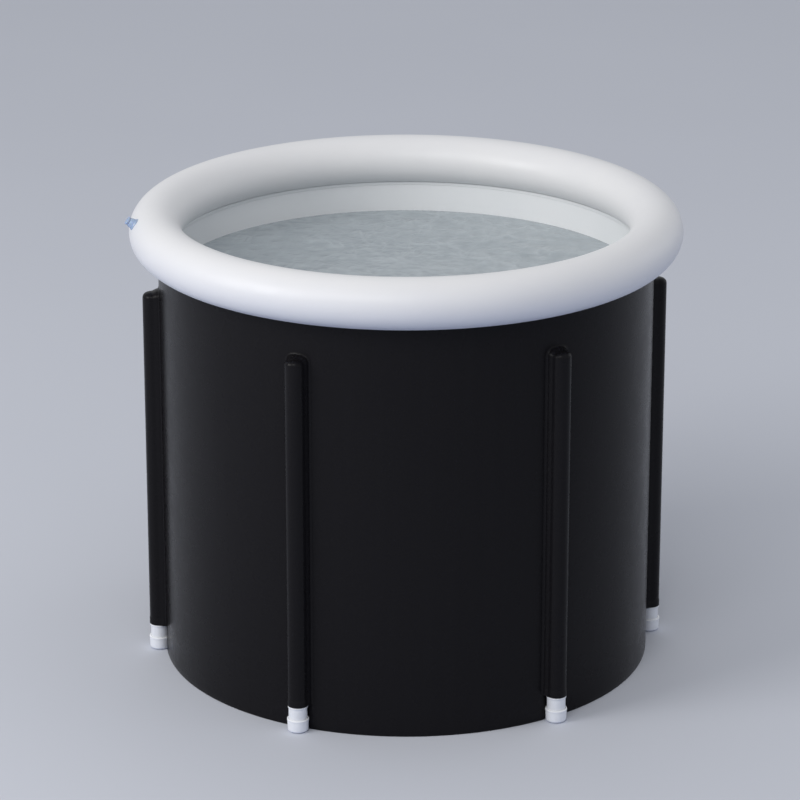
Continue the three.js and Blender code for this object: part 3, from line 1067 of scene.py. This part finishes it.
# %% Water
water, tree, shader = skin("water", (0.52, 0.57, 0.6), Roughness=0.1, IOR=1.33)
mapping = add(tree, "ShaderNodeMapping", {"Vector": on_piece(tree), "Scale": (1.0, 0.55, 1.0)})
drawn_out = mapping.outputs["Vector"]
waves = add(tree, "ShaderNodeTexNoise", {"Vector": drawn_out, "Scale": 16.0, "Detail": 2.0})
push = (0.05, 0.05, 0.05)
bent = add(tree, "ShaderNodeVectorMath", {0: waves.outputs["Color"], 1: push}, operation="MULTIPLY")
moved = add(tree, "ShaderNodeVectorMath", {0: drawn_out, 1: bent.outputs["Vector"]})
cells = add(
    tree,
    "ShaderNodeTexVoronoi",
    {"Vector": moved.outputs["Vector"], "Scale": 38.0},
    feature="DISTANCE_TO_EDGE",
)
crests = add(
    tree,
    "ShaderNodeMapRange",
    {"Value": cells.outputs["Distance"], "From Max": 0.3, "To Min": 1.0, "To Max": 0.0},
    interpolation_type="SMOOTHSTEP",
).outputs["Result"]
patches = between(tree, grain(tree, scale=24.0, detail=1.0))
broken = combined(tree, "MULTIPLY", crests, patches)
ripples = between(tree, grain(tree, scale=44.0, detail=2.0, stretch=(0.8, 1.1, 1.0)))
shares = {"Factor": 0.55, first_number: broken, second_number: ripples}
ripples_and_painted_glints = add(tree, "ShaderNodeMix", shares, data_type="FLOAT").outputs[mixed_number]
# The water's colour is lighter along the crests and ripples: painted glints, added to the bump from the same
# pattern.
colored(tree, shader, ripples_and_painted_glints, (0.47, 0.52, 0.55), (0.6, 0.65, 0.68))
relief(tree, shader, (waves.outputs["Fac"], 0.007), (ripples_and_painted_glints, 0.002))
see_through(tree, shader, 0.3, (0.85, 0.9, 0.93))

water_level, water_gap = 0.595, 0.0002
pool = bmesh.new()
pool_radius = liner_radius - film - water_gap
bmesh.ops.create_circle(pool, cap_ends=True, segments=192, radius=pool_radius)
stage_of(pool, "water_surface", water, water_level)

# %% [markdown]
# ## Floor, light and camera
# A plain pale floor runs out of sight in every direction. The camera, mirrors and glass see it pale, and
# the light that it throws up on the tub is bluer, which keeps the shadows below the ring cool. From below
# it is see-through for the camera, so that the underside can be looked at.
#
# A large soft lamp stands to the left, a second one high in front, and a weak third one behind on the
# right draws the barrel's edge there. A pale world fills the shadows. The lamps are large, because satin
# plastic shows their shape as its shine.

# %% Floor
floor_paint, tree, shader = skin("pale floor", (0.57, 0.59, 0.65), Roughness=0.7)
path = add(tree, "ShaderNodeLightPath")
seen = path.outputs["Is Camera Ray"]
mirrored = combined(tree, "ADD", path.outputs["Is Glossy Ray"], path.outputs["Is Transmission Ray"])
shown = combined(tree, "ADD", seen, mirrored, use_clamp=True)
pale = tint(tree, grain(tree, scale=1.5, detail=2.0), (0.56, 0.58, 0.64), (0.58, 0.6, 0.66))
colored(tree, shader, shown, (0.35, 0.41, 0.59), pale)
below = add(tree, "ShaderNodeNewGeometry").outputs["Backfacing"]
see_through(tree, shader, combined(tree, "MULTIPLY", below, seen))

floor_level, floor_reach = -0.0005, 40
ground = bmesh.new()
bmesh.ops.create_grid(ground, x_segments=1, y_segments=1, size=floor_reach)
stage_of(ground, "floor", floor_paint, floor_level)


# %% Lamps and world
def softbox(name, place, aim, size, power, color):
    """A square lamp that looks at a point on the tub's axis."""
    lamp = bpy.data.lights.new(name, "AREA")
    lamp.shape = "SQUARE"
    lamp.size = size
    lamp.energy = power
    lamp.color = color
    holder = bpy.data.objects.new(name, lamp)
    holder.location = place
    holder.rotation_euler = (Vector((0, 0, aim)) - Vector(place)).to_track_quat("-Z", "Y").to_euler()
    scene.collection.objects.link(holder)
    print(name, power, "W")


softbox("key_lamp", (-4.2, -2.2, 2.9), aim=0.5, size=2.6, power=121.0, color=(1.0, 0.985, 0.96))
softbox("fill_lamp", (-1.2, -4.0, 4.2), aim=0.6, size=2.4, power=60.0, color=(1.0, 0.99, 0.98))
softbox("rim_lamp", (3.3, 1.6, 1.6), aim=0.4, size=2.0, power=5.5, color=(0.96, 0.98, 1.0))

world = bpy.data.worlds.new("studio")
world.use_nodes = True
background = world.node_tree.nodes["Background"]
background.inputs["Color"].default_value = (0.86, 0.88, 0.92, 1)
background.inputs["Strength"].default_value = 0.67
scene.world = world
scene.view_settings.view_transform = "Standard"

# %% [markdown]
# The camera is the one that the photograph was taken with, as far as it can be fitted: nearly six metres
# away with a long lens, looking down by nineteen degrees. The two angles are in radians.

# %% Camera
camera_dip, camera_turn = 0.33954, 0.00172
lens = bpy.data.cameras.new("camera")
lens.sensor_width = 36.0
lens.lens = 168.5
camera = bpy.data.objects.new("camera", lens)
camera.location = (0, -5.46, 2.326)
camera.rotation_euler = (math.pi / 2 - camera_dip, 0, camera_turn)
scene.collection.objects.link(camera)
scene.camera = camera
print("camera", tuple(round(c, 3) for c in camera.location))
